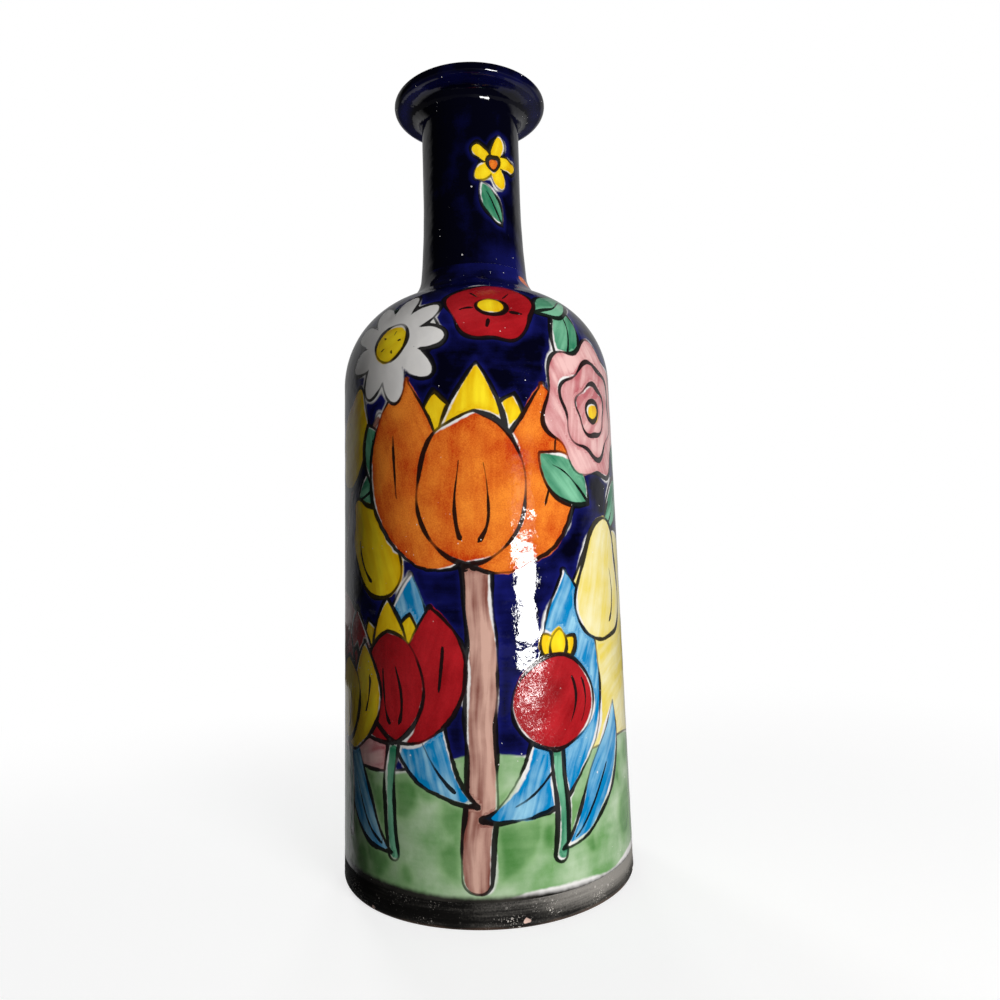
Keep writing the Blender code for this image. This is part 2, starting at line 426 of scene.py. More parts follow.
def arc(centre, across, up, start, end, count=60):
    """Round or oval arc: centre plus (across cos, up sin) of evenly spaced directions."""
    turn = np.linspace(start, end, count)
    return np.stack([centre[0] + across * np.cos(turn), centre[1] + up * np.sin(turn)], axis=1)


def vase_lines():
    """The wall's line from the floor to the lip, and the line over the lip into the bore. Arcs that touch
    have their centres in line with the touching point, so each centre follows from the one before."""
    lean = math.atan2(BODY_TAPER, wall_top)
    top_radius = base_radius - BODY_TAPER
    dome = np.array([top_radius - SHOULDER_ARC * math.cos(lean), wall_top - SHOULDER_ARC * math.sin(lean)])
    flare_axis = NECK_RADIUS + NECK_FLARE_ARC
    fillet_axis = flare_axis - math.sqrt((NECK_FLARE_ARC - NECK_FILLET) ** 2 - NECK_FLARE_HEIGHT**2)
    rise = math.sqrt((SHOULDER_ARC + NECK_FILLET) ** 2 - (fillet_axis - dome[0]) ** 2)
    fillet = np.array([fillet_axis, dome[1] + rise])
    flare = np.array([flare_axis, fillet[1] + NECK_FLARE_HEIGHT])
    dome_end = math.atan2(fillet[1] - dome[1], fillet[0] - dome[0])
    flare_start = math.atan2(fillet[1] - flare[1], fillet[0] - flare[0]) + 2 * math.pi
    lip_start = height - LIP_THICKNESS - LIP_FILLET
    wall = [
        [[base_radius, 0.0]],
        arc(dome, SHOULDER_ARC, SHOULDER_ARC, lean, dome_end),
        arc(fillet, NECK_FILLET, NECK_FILLET, dome_end + math.pi, flare_start)[1:],
        arc(flare, NECK_FLARE_ARC, NECK_FLARE_ARC, flare_start, math.pi)[1:],
        [[NECK_RADIUS, lip_start]],
    ]
    hollow = (NECK_RADIUS + LIP_FILLET, lip_start)
    edge = LIP_THICKNESS / 2
    rim = (lip_radius - edge, height - edge)
    lip = [
        arc(hollow, LIP_FILLET, LIP_FILLET, math.pi, math.pi / 2),
        arc(rim, edge, edge, -math.pi / 2, math.pi / 2),
        arc(hollow, LIP_FILLET + WALL, LIP_FILLET + LIP_THICKNESS, math.pi / 2, math.pi),
    ]
    return np.vstack(wall), np.vstack(lip)


wall_line, lip_line = vase_lines()


def cut(line, low, high):
    """The part of a rising line between two heights."""
    ends = [[np.interp(z, line[:, 1], line[:, 0]), z] for z in (low, high)]
    inside = line[(line[:, 1] > low + 1e-6) & (line[:, 1] < high - 1e-6)]
    return np.vstack([ends[:1], inside, ends[1:]])


def walked(line):
    """How far along a line each of its points lies: the sum of the steps before it."""
    return np.concatenate([[0.0], np.cumsum(np.hypot(*np.diff(line, axis=0).T))])


def even(line, count):
    """The same line through count points at equal steps along it."""
    along = walked(line)
    place = np.linspace(0.0, along[-1], count)
    return np.stack([np.interp(place, along, line[:, i]) for i in (0, 1)], axis=1)


def inward(line, depth):
    """The line moved by depth under the surface, along its normal: (-up, out) of its direction."""
    along = np.gradient(line, axis=0)
    along /= np.maximum(np.linalg.norm(along, axis=1, keepdims=True), 1e-9)
    return line + depth * np.stack([-along[:, 1], along[:, 0]], axis=1)


print(f"line: {base_radius:.1f} mm foot, {neck_joint:.1f} mm to the neck, {height:.1f} mm high")

# %% [markdown]
# ## Turned shells
#
# Each coat of glaze is a thin closed shell, with a fine outside and a coarse back. The surface is worked out
# for the whole grid at once: the rows follow the line, the columns go round the axis. Blender's Screw
# modifier could turn the line too, but the grid gives each point its angle and height, which the painting
# needs. A slow swell of a tenth of a millimetre keeps the round from looking machined.

# %% Turned surface
# shares of the height of the piece's own map: the outside up to the first, the back between the others
BAKE_SHARE, BACK_FROM, BACK_TO = 0.94, 0.95, 0.985
SHARP_ANGLE = math.radians(40)


def swell(angle, z):
    """Hand-thrown unevenness in mm: a slightly oval round, and a spiral ridge left by the fingers."""
    out_of_round = 0.10 * np.sin(2 * angle + 0.6) + 0.06 * np.sin(3 * angle + z / 40)
    ridge = 0.025 * np.sin(z / 1.9 + angle) * np.sin(z / 23 + 1.0)
    return out_of_round + ridge


def turned(name, face, back, columns, uneven=None):
    """Closed shell from a line that rises outside and one that comes back inside. A point of the grid is
    (r sin a, -r cos a, z), with angle a from the front towards the right. Returns the object and its grid."""
    loop = np.vstack([face, back])
    rows = len(loop)
    angle = np.broadcast_to(np.linspace(-math.pi, math.pi, columns, endpoint=False), (rows, columns))
    z = np.broadcast_to(loop[:, 1:], (rows, columns))
    radius = np.broadcast_to(loop[:, :1], (rows, columns)).copy()
    if uneven is not None:
        outside = (np.arange(rows) < len(face))[:, None]
        radius += np.where(outside, uneven(angle, z), 0.0)
    points = np.stack([radius * np.sin(angle), -radius * np.cos(angle), z], axis=-1)
    row, column = np.meshgrid(np.arange(rows), np.arange(columns), indexing="ij")
    next_row, next_column = (row + 1) % rows, (column + 1) % columns
    corners = [row * columns + column, row * columns + next_column]
    corners += [next_row * columns + next_column, next_row * columns + column]
    faces = np.stack(corners, axis=-1).reshape(-1, 4)
    mesh = bpy.data.meshes.new(name)
    mesh.from_pydata((points.reshape(-1, 3) * MM).tolist(), [], faces.tolist())
    up = np.concatenate([
        np.linspace(0.0, BAKE_SHARE, len(face)),
        np.linspace(BACK_FROM, BACK_TO, len(back)),
        [1.0],
    ])
    u = np.stack([column, column + 1, column + 1, column], axis=-1) / columns
    v = np.stack([up[row], up[row], up[row + 1], up[row + 1]], axis=-1)
    flat = np.stack([u, v], axis=-1).astype(np.float32)
    mesh.uv_layers.new(name="OFBake").uv.foreach_set("vector", flat.ravel())
    mesh.shade_smooth()
    mesh.set_sharp_from_angle(angle=SHARP_ANGLE)
    piece = add(name, mesh)
    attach(piece, "root")
    return piece, angle, radius, z


print(f"swell: {swell(0.0, 100.0):.3f} mm at the front, 100 mm up")

# %% [markdown]
# ## Drawing with distances
#
# A brushed shape is kept as a distance: how far each point of the surface is from the shape's edge, negative
# inside. Such a field stays smooth between the points of the mesh, so a line thinner than one face still
# comes out clean. Whole shapes are sums of a few: discs, ovals, pointed blades and ribbons along a path.


# %% Shapes
def rotated(x, y, degrees):
    """A place turned by an angle: (x cos - y sin, x sin + y cos)."""
    cos, sin = math.cos(math.radians(degrees)), math.sin(math.radians(degrees))
    return x * cos - y * sin, x * sin + y * cos


def turn_from(angle, degrees):
    """How far an angle is from a direction in degrees, brought between minus and plus half a turn."""
    return (angle - math.radians(degrees) + math.pi) % (2 * math.pi) - math.pi


def oval(x, y, across, up):
    """Distance to an oval, from the point's size in units of the oval and the slope of that size."""
    size = np.hypot(x / across, y / up)
    slope = np.hypot(x / across**2, y / up**2)
    return (size - 1) * np.where(slope > 1e-6, size / np.maximum(slope, 1e-6), min(across, up))


def blade(x, y, length, width):
    """Distance to a pointed leaf from the origin up to (0, length): where two equal discs overlap."""
    radius = (length**2 + width**2) / (4 * width)
    shift = radius - width / 2
    return np.maximum(np.hypot(x + shift, y - length / 2), np.hypot(x - shift, y - length / 2)) - radius


def leaning(lean, foot, length, width):
    """A blade that stands at (0, foot) and leans to the right by an angle in degrees."""
    return lambda x, y: blade(*rotated(x, y - foot, lean), length, width)


def rosette(count, middle, across, up):
    """Ovals in a ring: the plane is folded like a paper flower, and one oval is drawn on the fold."""
    sector = 2 * math.pi / count

    def shape(x, y):
        turn = (np.arctan2(x, y) + sector / 2) % sector - sector / 2
        reach = np.hypot(x, y)
        return oval(reach * np.sin(turn), reach * np.cos(turn) - middle, across, up)

    return shape


def scallop(radius, count, depth, turn=0.0):
    """A disc whose radius swings in and out by a share of itself, count times round."""
    return lambda x, y: np.hypot(x, y) - radius * (1 + depth * np.cos(count * np.arctan2(x, y) + turn))


def melt(first, second, width):
    """Two distances joined with a rounded corner of that width."""
    share = np.clip(0.5 + (second - first) / (2 * width), 0, 1)
    return second + (first - second) * share - width * share * (1 - share)


def bend(start, pull, end, count=18):
    """A path from start to end, drawn towards pull: the curve (1-t)^2 start + 2t(1-t) pull + t^2 end."""
    t = np.linspace(0, 1, count)[:, None]
    return (1 - t) ** 2 * np.array(start) + 2 * t * (1 - t) * np.array(pull) + t**2 * np.array(end)


def follow(x, y, path):
    """The nearest place on a path: the distance to it, signed by its side, how far along it lies from 0 to
    1, and how far the point is past one of the ends."""
    steps, before = np.diff(path, axis=0), walked(path)
    nearest, along, past = np.full(x.shape, 1e3), np.zeros(x.shape), np.full(x.shape, -1.0)
    for (start_x, start_y), (step_x, step_y), done in zip(path, steps, before):
        length = math.hypot(step_x, step_y)
        reach = ((x - start_x) * step_x + (y - start_y) * step_y) / length**2
        share = np.clip(reach, 0, 1)
        gap = np.hypot(x - start_x - share * step_x, y - start_y - share * step_y)
        side = np.where(step_x * (y - start_y) > step_y * (x - start_x), 1.0, -1.0)
        closer = gap < np.abs(nearest)
        nearest = np.where(closer, gap * side, nearest)
        along = np.where(closer, (done + share * length) / before[-1], along)
        past = np.where(closer, np.abs(reach - share) * length, past)
    inner = (along > 0) & (along < 1)
    return nearest, along, np.where(inner, -1.0, past)


def ribbon(path, width):
    """A stalk of even width along a path."""
    return lambda x, y: np.abs(follow(x, y, path)[0]) - width / 2


def frond(path, width):
    """A leaf along a path, widest past its middle and pointed at both ends."""

    def shape(x, y):
        gap, along, _ = follow(x, y, path)
        return np.abs(gap) - width / 2 * np.sin(np.pi * np.clip(along, 0.01, 0.99) ** 1.15) ** 0.8

    return shape


print(f"the middle of a leaf 14 mm wide is {-blade(0.0, 15.0, 30.0, 14.0):.1f} mm inside its edge")

# %% [markdown]
# ## The painter's hand
#
# On the real glaze a shape is outlined in black with a loaded brush and filled loosely, so that slivers of
# white stay between line and colour here and there, and elsewhere the fill drifts over the line. The canvas
# keeps one field for each pigment. A new shape first clears what lies under it, and is then filled a little
# off its outline. A line is kept as the signed distance to its middle, because between the points of the
# mesh only a signed number passes through zero at the right place. Lines that come close go on different
# layers.

# %% Canvas
FAR = 40.0
LINE = 0.70
HALO = 1.25
LAYERS = 6
GUARD = 1.6
STROKE_SHIFT = 9.7
PIGMENT_NAMES = (
    "cobalt", "meadow", "dab", "straw", "pink", "mauve", "teal", "sky", "yellow", "orange", "red", "slip",
)
# waves of the hand, each with its height, its number round the vase, its mm of rise to a radian and its
# start: how far the fill drifts from its outline, where white is spared, and how the outline itself shakes
DRIFT = (
    ((0.85, 6, 14.0, 0.4), (0.30, 13, -8.1, 0.0)),
    ((0.80, 7, -12.0, 2.1), (0.30, 15, 9.3, 1.0)),
)
SPARE = ((1.0, 9, 8.0, 0.0), (0.8, 5, -11.0, 2.0))
SHAKE = (
    ((0.50, 5, 7.1, 0.0), (0.14, 0, 2.9, 1.3)),
    ((0.50, 13, 17.0, 0.0), (0.14, 29, math.inf, 0.7)),
)


def waves(angle, rise, rows):
    """A sum of waves: tall sin(number angle + rise / length + start)."""
    return sum(tall * np.sin(number * angle + rise / length + start) for tall, number, length, start in rows)


class Canvas:
    """A painting on a turned surface: fields of distances in mm for the pigments and for the black lines."""

    def __init__(self, angle, radius, rise, loose=1.0):
        self.angle, self.radius, self.rise = angle, radius, rise
        self.fields = {name: np.full(angle.shape, FAR) for name in PIGMENT_NAMES}
        self.lines = np.full((LAYERS, *angle.shape), FAR)
        self.hidden = np.full((LAYERS, *angle.shape), FAR)
        self.stroke = np.zeros((*angle.shape, 3))
        self.count = 0
        self.drift = loose * np.array([waves(angle, rise, rows) for rows in DRIFT])
        self.spare = loose * np.clip(1.1 * waves(angle, rise, SPARE) - 0.6, -0.3, 1.4)
        self.shake = [waves(angle, rise, rows) for rows in SHAKE]

    def at(self, degrees, rise, tilt=0.0):
        """Coordinates in mm about a place: x round the vase, y up it, both turned clockwise by tilt."""
        x = turn_from(self.angle, degrees) * self.radius + self.shake[0]
        return rotated(x, self.rise - rise + self.shake[1], tilt)

    def ink(self, across, hidden):
        """Keeps a line: the signed distance across it, and a number above zero where it doesn't show. It goes
        on the layer where the fewest points hold another line near by."""
        hidden = np.maximum(hidden, np.abs(across) - GUARD)
        clashes = [np.count_nonzero((hidden < 1.0) & (other < 1.0)) for other in self.hidden]
        layer = int(np.argmin(clashes))
        closer = hidden < self.hidden[layer]
        self.lines[layer] = np.where(closer, across, self.lines[layer])
        self.hidden[layer] = np.where(closer, hidden, self.hidden[layer])

    def paint(self, shape, place, pigment, along=90.0, inset=0.30, line=LINE, halo=HALO):
        """Clears a shape, fills it loosely along a brush direction in degrees, and draws its outline."""
        x, y = place
        edge = shape(x, y)
        for name, field in self.fields.items():
            self.fields[name] = np.maximum(field, halo * self.spare - edge)
        self.hidden = np.maximum(self.hidden, -edge)
        if pigment:
            loose = shape(x + self.drift[0], y + self.drift[1]) + inset
            self.fields[pigment] = np.minimum(self.fields[pigment], loose)
        if line:
            self.ink(edge * (LINE / line), np.full(edge.shape, -1.0))
        self.count += 1
        brushed = np.stack([*rotated(x, y, -along), np.full(x.shape, STROKE_SHIFT * self.count)], axis=-1)
        self.stroke = np.where((edge < 1.0)[..., None], brushed, self.stroke)

    def draw(self, path, place, start=1.0, end=0.35):
        """A free brush line along a path, with round tips. Its width goes from start to end, as shares of an
        outline's."""
        gap, along, past = follow(*place, path)
        length = walked(path)[-1]
        tip = np.sqrt(np.clip(np.minimum(along, 1 - along) * length / 1.3, 0.04, 1))
        self.ink(gap / (tip * (start + (end - start) * along)), past)

    def wash(self, pigment, distance):
        """Lays a pigment without clearing or outlining."""
        self.fields[pigment] = np.minimum(self.fields[pigment], distance)


print(f"canvas: {len(PIGMENT_NAMES)} pigments and {LAYERS} layers of lines")

# %% [markdown]
# ## Flowers, leaves and fruit
#
# Each motif is a short function that paints itself on a canvas, from back to front, at an angle round the
# vase and a height up its surface. Their lengths are millimetres on the glaze.


# %% Leaves and stalks
def leaf(canvas, degrees, rise, length, width, tilt, pigment="teal"):
    """A pointed leaf with a midrib."""
    place = canvas.at(degrees, rise, tilt)
    canvas.paint(lambda x, y: blade(x, y, length, width), place, pigment, along=80)
    canvas.draw(bend((0, -1), (0.08 * length, length / 2), (0, 0.8 * length)), place, 0.9)


def long_leaf(canvas, degrees, rise, pull, tip, width, pigment="sky"):
    """A long bent leaf from a place on a stalk, with a midrib along it."""
    place = canvas.at(degrees, rise)
    path = bend((0, 0), pull, tip)
    along = math.degrees(math.atan2(tip[1], tip[0]))
    canvas.paint(frond(path, width), place, pigment, along=along, inset=0.6)
    canvas.draw(path[2:-5], place, 0.8)


def stalk(canvas, degrees, rise, pull, top, width, pigment="mauve"):
    """A stalk or a trunk along a bent path."""
    place = canvas.at(degrees, rise)
    canvas.paint(ribbon(bend((0, 0), pull, top), width), place, pigment, along=88, inset=0.5)


print("green motifs: leaf, long leaf and stalk")

# %% Flowers
def tulip(canvas, degrees, rise, size, tilt=0.0, cup="orange", heart="yellow"):
    """A tulip: pointed petals behind, two side petals that curl out, and one in front."""
    place = canvas.at(degrees, rise, tilt)
    foot = -30 * size
    for lean, length in ((-13, 60), (13, 60), (0, 68)):
        canvas.paint(leaning(lean, foot, length * size, 24 * size), place, heart, along=90 - lean)
    for side in (-1, 1):
        path = size * bend((2 * side, -30), (30 * side, -22), (24 * side, 32))
        canvas.paint(frond(path, 31 * size), place, cup, along=90 - 20 * side)
        canvas.draw(path[9:-3] + (4 * side * size, 0), place, 0.5, 0.9)
    canvas.paint(leaning(0, foot, 52 * size, 38 * size), place, cup, along=90)
    for side in (-1, 1):
        vein = bend((2.5 * side, -22), (8 * side, -14), (4 * side, 6))
        canvas.draw(size * vein, place, 0.9)


def daisy(canvas, degrees, rise, size, count=9, petal=None, heart="yellow"):
    """A daisy with petals of white glaze, or of a pigment, round a heart with a ring of seeds."""
    place = canvas.at(degrees, rise, 9.0)
    canvas.paint(rosette(count, 0.60 * size, 0.215 * size, 0.40 * size), place, petal)
    canvas.paint(lambda x, y: np.hypot(x, y) - 0.31 * size, place, heart, along=30)
    for turn in np.radians((10, 82, 154, 226, 298)):
        ray = np.array([[math.sin(turn), math.cos(turn)]])
        canvas.draw(np.vstack([0.12 * size * ray, 0.21 * size * ray]), place, 0.6, 0.8)


def poppy(canvas, degrees, rise, size, pigment="red"):
    """A poppy: a scalloped round with a yellow eye and a few strokes about it."""
    place = canvas.at(degrees, rise)
    canvas.paint(scallop(size, 5, 0.07), place, pigment, along=20)
    canvas.paint(lambda x, y: oval(x, y, 0.33 * size, 0.27 * size), place, "yellow")
    for turn in np.radians((40, 110, 190, 260, 320)):
        ray = np.array([[math.sin(turn), math.cos(turn)]])
        canvas.draw(np.vstack([0.40 * size * ray, 0.72 * size * ray]), place, 0.9, 0.5)


def peony(canvas, degrees, rise, size, pigment="pink"):
    """A peony: rings of scalloped petals about a yellow heart."""
    place = canvas.at(degrees, rise)
    for share, count, turn in ((1.0, 7, 0.0), (0.68, 6, 1.2), (0.38, 5, 0.4)):
        canvas.paint(scallop(share * size, count, 0.08, turn), place, pigment, along=120 * share)
    canvas.paint(lambda x, y: oval(x, y, 0.17 * size, 0.15 * size), place, "yellow")


print("flower motifs: tulip, daisy, poppy and peony")

# %% Fruit
def lemon(canvas, degrees, rise, size, tilt):
    """A lemon with its nub, and a stroke for its round."""
    place = canvas.at(degrees, rise, tilt)

    def outline(x, y):
        return melt(oval(x, y, 0.70 * size, size), oval(x, y - size, 0.2 * size, 0.26 * size), 0.3 * size)

    canvas.paint(outline, place, "yellow", along=75)
    canvas.draw(size * bend((-0.36, -0.5), (-0.56, 0), (-0.3, 0.5)), place, 0.8)


def pomegranate(canvas, degrees, rise, size, tilt=0.0):
    """A pomegranate with its crown, and two strokes for its round."""
    place = canvas.at(degrees, rise, tilt)
    for lean in (-32, 32, 0):
        canvas.paint(leaning(lean, 0.72 * size, 0.75 * size, 0.42 * size), place, "yellow")
    canvas.paint(lambda x, y: oval(x, y, size, 0.94 * size), place, "red", along=60)
    for reach in (0.62, 0.34):
        canvas.draw(size * bend((reach, 0.5), (reach + 0.25, 0), (reach, -0.5)), place, 0.8)


def pear(canvas, degrees, rise, size, tilt):
    """A pear: a round and a smaller round above it, melted together, with a stalk."""
    place = canvas.at(degrees, rise, tilt)

    def outline(x, y):
        head = oval(x, y - 1.15 * size, 0.52 * size, 0.6 * size)
        return melt(oval(x, y, size, 0.96 * size), head, 0.8 * size)

    canvas.paint(outline, place, "straw", along=80)
    canvas.draw(size * bend((0, 1.7), (0.05, 2.0), (0.25, 2.2)), place, 1.3, 1.0)
    canvas.draw(size * bend((0.3, -0.6), (0.66, 0), (0.3, 0.7)), place, 0.8)


print("fruit motifs: lemon, pomegranate and pear")

# %% [markdown]
# ## A garden round the body
#
# The ground is a green wash with darker dabs, under a cobalt sky. Fruit and flowers stand before it all the
# way round, big enough to fill the wall. Things further back are painted first.

# %% Ground
MEADOW_TOP = 42.0
MEADOW_FOOT = 0.9
MEADOW_SEED = 7
HILL_FOOT = 12
DABS = 64
# degrees, width and height in mm on each side of the middle, and pigment
HILLS = (
    (186, 60, 46, "pink"),
    (222, 44, 34, "straw"),
    (150, 34, 28, "straw"),
    (92, 48, 54, "pink"),
    (62, 40, 76, "straw"),
    (-84, 46, 58, "pink"),
)


def ground(canvas):
    """Cobalt over everything, with round hills before it that go down behind the meadow."""
    canvas.wash("cobalt", MEADOW_TOP - HILL_FOOT - canvas.rise)
    for degrees, across, up, pigment in HILLS:

        def outline(x, y):
            return np.maximum(oval(x, y, across, up), -HILL_FOOT - y)

        canvas.paint(outline, canvas.at(degrees, MEADOW_TOP), pigment, along=20, inset=0.6)


def meadow(canvas, seed):
    """The green wash with its dabs, and the dark slip that laps up from the foot."""
    angle, rise = canvas.angle, canvas.rise
    top = MEADOW_TOP + 3.0 * np.sin(2 * angle + 0.8) + 1.8 * np.sin(5 * angle + 2.0)
    foot = MEADOW_FOOT + 1.7 * np.sin(angle - 0.2) + 0.4 * np.sin(5 * angle)
    place = (angle * base_radius, rise)
    canvas.paint(lambda x, y: np.maximum(y - top, foot - y), place, "meadow", line=0.0, halo=0.4)
    canvas.ink(rise - top, 2.0 * np.sin(3 * angle + 1.1))
    draws = np.random.default_rng(seed)
    for degrees, share, across, up in draws.random((DABS, 4)):
        x, y = canvas.at(360 * degrees, MEADOW_FOOT + 4 + 34 * share, 50 * (across - 0.5))
        canvas.wash("dab", np.maximum(oval(x, y, 3 + 5 * across, 4 + 9 * up), canvas.fields["meadow"] + 1.0))
    lap = 1.2 - 1.3 * np.sin(angle - 0.2) + 0.2 * np.sin(7 * angle)
    canvas.wash("slip", rise - lap)


def kiln_mark(canvas, degrees, drop):
    """A place, drop mm below the neck, where the cobalt ran thin in the kiln, with a spot of orange from the
    clay beside it."""
    rise = canvas.rise.max() - drop
    thin = -0.8 - 0.30 * np.maximum(oval(*canvas.at(degrees - 16, rise + 2, 20), 7.0, 3.0), 0)
    canvas.fields["cobalt"] = np.maximum(canvas.fields["cobalt"], thin)
    canvas.wash("orange", oval(*canvas.at(degrees, rise, 20), 3.4, 2.0))


print(f"ground: {len(HILLS)} hills and a meadow {MEADOW_TOP:.0f} mm high")

# %% Garden
# each row is a motif and its settings, painted in this order: here the side towards the camera, with one
# great tulip, blue leaves, and fruit on both sides
FRONT_GARDEN = (
    (stalk, -78, 96, (8, 34), (34, 62), 3.2),
    (leaf, -70, 118, 30, 14, -70),
    (leaf, -55, 130, 28, 14, 66),
    (lemon, -62, 150, 17, 24),
    (lemon, -45, 112, 17, -30),
    (leaf, -37, 130, 28, 13, -22),
    (stalk, -4, 7, (4, 55), (2, 110), 10.0),
    (long_leaf, -2, 26, (44, 6), (30, 78), 28),
    (long_leaf, -4, 30, (-30, 12), (-21, 74), 24),
    (tulip, -3, 136, 1.0, 3),
    (stalk, -36, 12, (-2, 20), (1, 40), 4.4, "teal"),
    (long_leaf, -37, 12, (-18, 6), (-24, 40), 14),
    (tulip, -36, 70, 0.70, -4, "red", "yellow"),
    (stalk, -63, 14, (1, 16), (-2, 34), 4.0, "teal"),
    (tulip, -67, 62, 0.60, 3, "yellow", "red"),
    (stalk, 25, 12, (3, 16), (0, 38), 4.4, "teal"),
    (long_leaf, 26, 14, (20, 8), (29, 42), 14),
    (pomegranate, 26, 61, 16, 6),
    (leaf, 46, 126, 28, 14, -50),
    (leaf, 57, 118, 28, 13, 48),
    (pear, 53, 94, 16, 8),
    (leaf, 35, 172, 30, 13, 12),
    (leaf, 70, 150, 28, 14, 118),
    (peony, 52, 160, 24),
    (leaf, -14, 186, 26, 12, -62),
    (leaf, 25, 194, 26, 12, 60),
    (poppy, 7, 196, 15),
    (daisy, -36, 184, 22),
)
# the far side: a marigold, two tulips and more fruit
BACK_GARDEN = (
    (stalk, 122, 8, (-4, 50), (2, 112), 8.0),
    (long_leaf, 122, 36, (34, 12), (34, 62), 22),
    (long_leaf, 121, 30, (-26, 12), (-25, 54), 20),
    (daisy, 123, 138, 30, 11, "orange", "red"),
    (leaf, 160, 150, 28, 13, 70),
    (leaf, 172, 128, 26, 12, -60),
    (lemon, 164, 132, 15, 30),
    (lemon, 184, 150, 15, -24),
    (stalk, 190, 10, (2, 20), (0, 44), 4.4, "teal"),
    (long_leaf, 190, 12, (-16, 8), (-22, 34), 12),
    (tulip, 190, 78, 0.74, 2, "red", "pink"),
    (stalk, 240, 8, (3, 50), (-2, 98), 8.0),
    (long_leaf, 241, 30, (-32, 12), (-32, 60), 21),
    (long_leaf, 242, 34, (28, 10), (26, 52), 18),
    (tulip, 238, 124, 0.95, -3, "sky", "pink"),
    (pomegranate, 268, 100, 14, -8),
    (leaf, 270, 114, 26, 12, 30),
    (pear, 158, 86, 13, -10),
    (leaf, 205, 116, 26, 12, 30),
    (peony, 212, 160, 21),
    (daisy, 262, 164, 20),
    (poppy, 176, 190, 14),
    (leaf, 152, 186, 24, 12, -58),
    (leaf, 196, 188, 24, 12, 58),
    (daisy, 104, 186, 16),
    (poppy, 238, 192, 13),
    (leaf, 286, 190, 24, 12, 20),
)
# degrees, and mm below the neck
KILN_MARK = (58, 4.5)
print(f"garden: {len(FRONT_GARDEN)} motifs in front and {len(BACK_GARDEN)} behind")

# %% Painted body
BODY_ROWS, BODY_COLUMNS = 240, 384
BACK_STEP = 5


def open_canvas(face, angle, radius, loose=1.0):
    """A canvas on the outside of a turned shell, whose rise is the way along the line."""
    outside = slice(0, len(face))
    rise = np.broadcast_to(walked(face)[:, None], angle[outside].shape)
    return Canvas(angle[outside], radius[outside], rise, loose)


def keep_painting(piece, canvas, bare_rows):
    """Stores the canvas on the mesh, three lines to a vector. The back of the coat is left bare."""
    kept = {**canvas.fields, "stroke": canvas.stroke}
    for first in range(0, LAYERS, 3):
        kept[f"line_{first}"] = np.stack(canvas.lines[first:first + 3], axis=-1)
        kept[f"hidden_{first}"] = np.stack(canvas.hidden[first:first + 3], axis=-1)
    for name, values in kept.items():
        store(piece, name, np.vstack([values, np.full((bare_rows, *values.shape[1:]), FAR)]))


body_face = even(cut(wall_line, glaze_foot, neck_joint), BODY_ROWS)
dome_row = int(np.argmax(body_face[:, 1] > wall_top))
back_rows = [0, *range(dome_row, BODY_ROWS - 1, BACK_STEP), BODY_ROWS - 1]
body_back = inward(body_face, GLAZE)[back_rows[::-1]]
body, angle, radius, _ = turned("painted_body", body_face, body_back, BODY_COLUMNS, swell)
garden = open_canvas(body_face, angle, radius)
ground(garden)
meadow(garden, MEADOW_SEED)
for motif, *settings in BACK_GARDEN + FRONT_GARDEN:
    motif(garden, *settings)
kiln_mark(garden, *KILN_MARK)
keep_painting(body, garden, len(body_back))
print(f"body: {garden.count} brushed shapes on {BODY_ROWS} by {BODY_COLUMNS} points")

# %% [markdown]
# ## Brushed pigment under a clear glaze
#
# Each pigment runs from thin, where the white glaze shows through, to thick, where the brush left a pool. The
# tone follows streaks along the brush, soft clouds, a fine grain and a darker rim. One node group holds that
# recipe, and the pigments are laid over each other with it. The surface itself is one glossy glass.

# %% Pigment recipe
PIGMENTS = {
    # name: thin, thick, usual tone, shares of streaks, clouds, grain and rim in the tone, softness of the
    # edge in mm, and how much its crystals roughen the gloss
    "cobalt": (shade(30, 34, 128), shade(3, 3, 20), 0.85, 0.16, 0.45, 0.05, -0.32, 1.1, 0.06),
    "meadow": (shade(194, 212, 182), shade(110, 156, 96), 0.60, 0.12, 0.80, 0.05, 0.10, 1.0, 0.04),
    "dab": (shade(138, 176, 122), shade(62, 120, 52), 0.62, 0.15, 0.60, 0.05, -0.45, 5.0, 0.04),
    "straw": (shade(236, 229, 186), shade(226, 204, 88), 0.52, 0.28, 0.70, 0.05, 0.10, 0.6, 0.02),
    "pink": (shade(230, 186, 182), shade(182, 100, 106), 0.36, 0.35, 0.70, 0.10, 0.25, 0.6, 0.06),
    "mauve": (shade(206, 164, 148), shade(126, 74, 64), 0.36, 0.50, 0.55, 0.05, 0.35, 0.6, 0.08),
    "teal": (shade(126, 190, 154), shade(40, 116, 84), 0.50, 0.40, 0.70, 0.05, 0.15, 0.6, 0.04),
    "sky": (shade(156, 206, 226), shade(4, 126, 184), 0.72, 0.45, 0.70, 0.05, 0.12, 0.6, 0.04),
    "yellow": (shade(252, 226, 40), shade(222, 168, 0), 0.40, 0.25, 0.45, 0.05, 0.25, 0.6, 0.02),
    "orange": (shade(244, 142, 48), shade(190, 56, 12), 0.50, 0.12, 0.75, 0.40, 0.20, 0.6, 0.14),
    "red": (shade(192, 34, 42), shade(130, 6, 14), 0.50, 0.12, 0.55, 0.15, 0.10, 0.6, 0.80),
    "slip": (shade(70, 67, 62), shade(12, 12, 11), 0.85, 0.40, 0.40, 0.10, -0.20, 2.0, 0.60),
}
WHEEL_PIGMENTS = ("cobalt", "meadow", "dab", "slip")
WHITE_GLAZE, GREY_GLAZE = shade(231, 228, 224), shade(222, 220, 218)
LINE_INK = shade(14, 13, 14)
TEXTURE_SWING = 2.6
RIM_REACH = (-3.2, -0.2)
FRAY = 0.7
